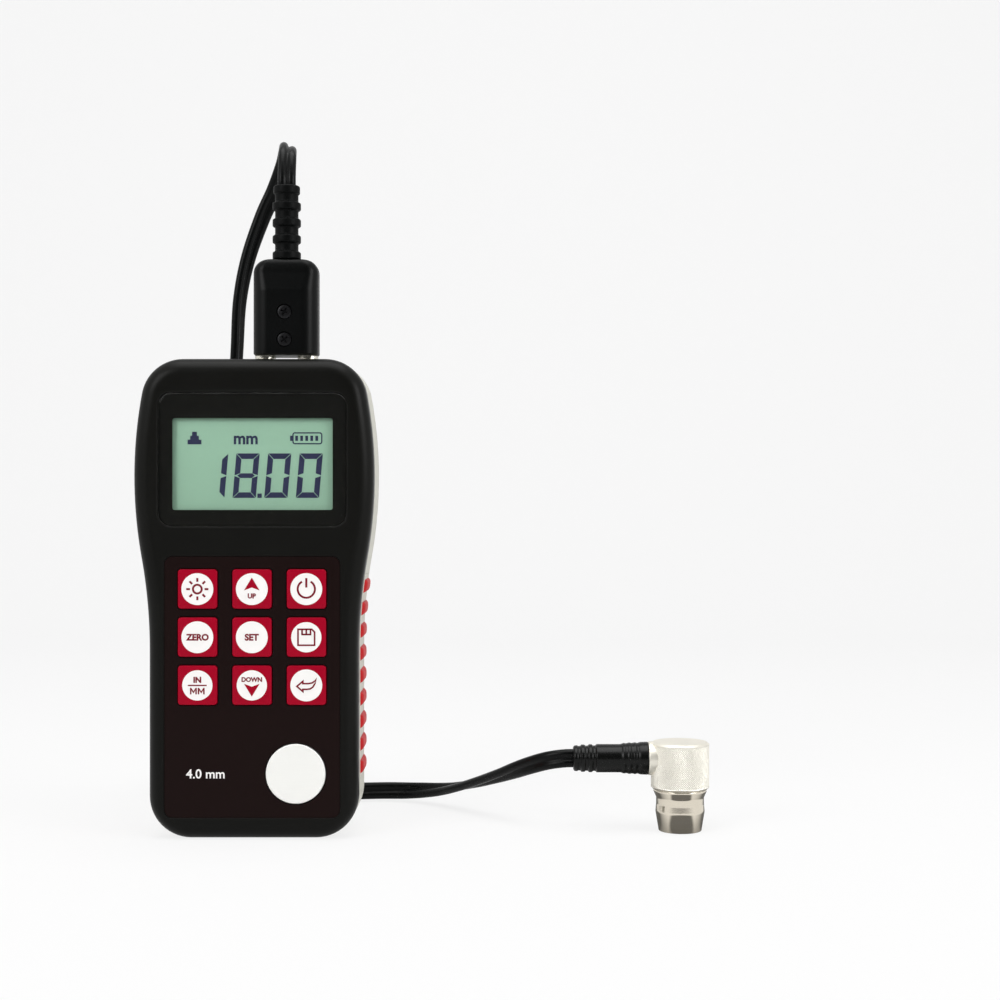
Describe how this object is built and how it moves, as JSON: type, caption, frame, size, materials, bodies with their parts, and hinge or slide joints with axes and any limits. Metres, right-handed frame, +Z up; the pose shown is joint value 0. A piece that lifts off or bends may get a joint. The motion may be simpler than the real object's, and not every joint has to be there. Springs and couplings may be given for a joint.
{
  "type": "ultrasonic thickness gauge",
  "caption": "Handheld thickness gauge with a display, square red keys, ribbed side grips and a plugged-in twin lead to a knurled right-angle probe.",
  "frame": {"origin": "middle of the gauge's bottom end, on the surface it stands on", "axes": "+Z up the gauge, -Y out of the display, +X to the right seen from the front"},
  "size_m": [0.1917, 0.1296, 0.2205],
  "materials": {
    "cover_black": "fine moulded grain",
    "shell_cream": "fine moulded grain",
    "grip_red": "satin",
    "lens_clear": "clear with a printed border",
    "lcd_green": "smooth",
    "holder_white": "moulded",
    "light_guide": "smooth",
    "zebra_pink": "smooth",
    "board_green": "solder mask",
    "chip_black": "moulded",
    "can_tin": "tinned",
    "dome_steel": "rolled",
    "film_brown": "fine film grain",
    "key_red": "printed satin",
    "disc_steel": "ground",
    "nickel": "polished nickel plate",
    "insulator": "turned",
    "cell_jacket": "gloss sleeve",
    "contact_nickel": "nickel plate",
    "screw_black": "black oxide",
    "plug_black": "moulded",
    "boot_black": "smooth",
    "cord_black": "smooth",
    "tie_black": "woven",
    "pin_gold": "plated",
    "knurl_nickel": "knurled nickel plate",
    "delay_amber": "lapped resin",
    "cork_brown": "cork sheet",
    "piezo_cream": "fired ceramic",
    "backing_grey": "cast, filled resin"
  },
  "bodies": {
    "gauge": {"front_shell": "cover_black", "rear_shell": "shell_cream", "left_grip": "grip_red", "right_grip": "grip_red", "window_lens": "lens_clear", "lcd_panel": "lcd_green", "lcd_holder": "holder_white", "backlight_panel": "light_guide", "zebra_strips": "zebra_pink", "main_board": "board_green", "board_chips": "chip_black", "shield_can": "can_tin", "dome_switches": "dome_steel", "keypad_overlay": "film_brown", "calibration_disc": "disc_steel", "socket_left": "nickel", "socket_right": "nickel", "socket_nuts": "nickel", "socket_inserts": "insulator", "battery_left": "cell_jacket", "battery_right": "cell_jacket", "contact_springs": "contact_nickel", "contact_plates": "contact_nickel", "case_screws": "screw_black", "board_screws": "can_tin"},
    "door": {"battery_door": "shell_cream"},
    "lead": {"plug_front_half": "plug_black", "plug_rear_half": "plug_black", "plug_screws": "screw_black", "plug_barrels": "nickel", "plug_inserts": "insulator", "plug_pins": "pin_gold", "plug_boot": "boot_black", "cord_drop": "cord_black", "cord_coil": "cord_black", "cord_run": "cord_black", "coil_tie": "tie_black", "probe_nose": "nickel", "probe_housing": "knurl_nickel", "delay_line_left": "delay_amber", "delay_line_right": "delay_amber", "sound_barrier": "cork_brown", "crystals": "piezo_cream", "damping_blocks": "backing_grey", "probe_boot": "boot_black"},
    "button_light": {"key_light": "key_red"},
    "button_up": {"key_up": "key_red"},
    "button_power": {"key_power": "key_red"},
    "button_zero": {"key_zero": "key_red"},
    "button_set": {"key_set": "key_red"},
    "button_save": {"key_save": "key_red"},
    "button_unit": {"key_unit": "key_red"},
    "button_down": {"key_down": "key_red"},
    "button_enter": {"key_enter": "key_red"}
  },
  "joints": [
    {"name": "press_light", "type": "slide", "parent": "gauge", "child": "button_light", "axis": [0, 1, 0], "range_m": [0, 0.0006], "stiffness_N_per_m": 400},
    {"name": "press_up", "type": "slide", "parent": "gauge", "child": "button_up", "axis": [0, 1, 0], "range_m": [0, 0.0006], "stiffness_N_per_m": 400},
    {"name": "press_power", "type": "slide", "parent": "gauge", "child": "button_power", "axis": [0, 1, 0], "range_m": [0, 0.0006], "stiffness_N_per_m": 400},
    {"name": "press_zero", "type": "slide", "parent": "gauge", "child": "button_zero", "axis": [0, 1, 0], "range_m": [0, 0.0006], "stiffness_N_per_m": 400},
    {"name": "press_set", "type": "slide", "parent": "gauge", "child": "button_set", "axis": [0, 1, 0], "range_m": [0, 0.0006], "stiffness_N_per_m": 400},
    {"name": "press_save", "type": "slide", "parent": "gauge", "child": "button_save", "axis": [0, 1, 0], "range_m": [0, 0.0006], "stiffness_N_per_m": 400},
    {"name": "press_unit", "type": "slide", "parent": "gauge", "child": "button_unit", "axis": [0, 1, 0], "range_m": [0, 0.0006], "stiffness_N_per_m": 400},
    {"name": "press_down", "type": "slide", "parent": "gauge", "child": "button_down", "axis": [0, 1, 0], "range_m": [0, 0.0006], "stiffness_N_per_m": 400},
    {"name": "press_enter", "type": "slide", "parent": "gauge", "child": "button_enter", "axis": [0, 1, 0], "range_m": [0, 0.0006], "stiffness_N_per_m": 400},
    {"name": "door_slide", "type": "slide", "parent": "gauge", "child": "door", "axis": [0, 0, -1], "range_m": [0, 0.006]},
    {"name": "lead_unplug", "type": "slide", "parent": "gauge", "child": "lead", "axis": [0, 0, 1], "range_m": [0, 0.012]}
  ]
}
